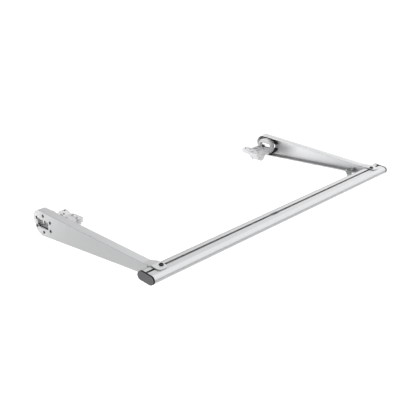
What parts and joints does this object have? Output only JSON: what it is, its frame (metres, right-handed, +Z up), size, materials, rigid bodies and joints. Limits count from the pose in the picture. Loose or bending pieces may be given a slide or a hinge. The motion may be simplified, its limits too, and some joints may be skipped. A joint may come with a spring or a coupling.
{
  "type": "swinging pull bow",
  "caption": "U-shaped pull bow: two tapered channel arms joined by an oval grip rail with a top groove, each arm pivoting on a cast clamp bracket.",
  "frame": {"origin": "on the pivot axis, midway between the two arms", "axes": "+X along the pivot axis and the grip rail, -Y from the pivot axis to the rail, +Z up with the bow level"},
  "size_m": [0.8, 0.3741, 0.0534],
  "materials": {
    "arm_sheet": "satin anodised sheet",
    "rail_aluminium": "satin anodised extrusion",
    "cast_metal": "blasted casting",
    "steel": "zinc plated",
    "black_steel": "black oxide",
    "pad_black": "moulded bearing plastic",
    "black_rubber": "matt rubber",
    "cap_grey": "fine texture"
  },
  "bodies": {
    "brackets": {"bracket_left": "cast_metal", "bracket_right": "cast_metal", "clamp_screws_left": "steel", "clamp_screws_right": "steel", "levelling_screws_left": "black_steel", "levelling_screws_right": "black_steel"},
    "bow": {"arm_left": "arm_sheet", "arm_right": "arm_sheet", "grip_rail": "rail_aluminium", "cap_gasket_left": "black_rubber", "cap_gasket_right": "black_rubber", "end_cap_left": "cap_grey", "end_cap_right": "cap_grey", "tab_screw_left": "black_steel", "tab_screw_right": "black_steel", "slot_nut_left": "steel", "slot_nut_right": "steel", "corner_brace_left": "arm_sheet", "corner_brace_right": "arm_sheet", "brace_screws_left": "steel", "brace_screws_right": "steel", "upper_pad_left": "pad_black", "upper_pad_right": "pad_black", "lower_pad_left": "pad_black", "lower_pad_right": "pad_black", "hub_screws_left": "black_steel", "hub_screws_right": "black_steel"},
    "jaw_left": {"clamp_jaw_left": "cast_metal"},
    "jaw_right": {"clamp_jaw_right": "cast_metal"}
  },
  "joints": [
    {"name": "bow_swing", "type": "hinge", "parent": "brackets", "child": "bow", "pos_m": [0, 0, 0], "axis": [1, 0, 0], "range_deg": [-90, 90]},
    {"name": "jaw_left_slide", "type": "slide", "parent": "brackets", "child": "jaw_left", "axis": [0, 0, -1], "range_m": [0, 0.006]},
    {"name": "jaw_right_slide", "type": "slide", "parent": "brackets", "child": "jaw_right", "axis": [0, 0, -1], "range_m": [0, 0.006]}
  ]
}
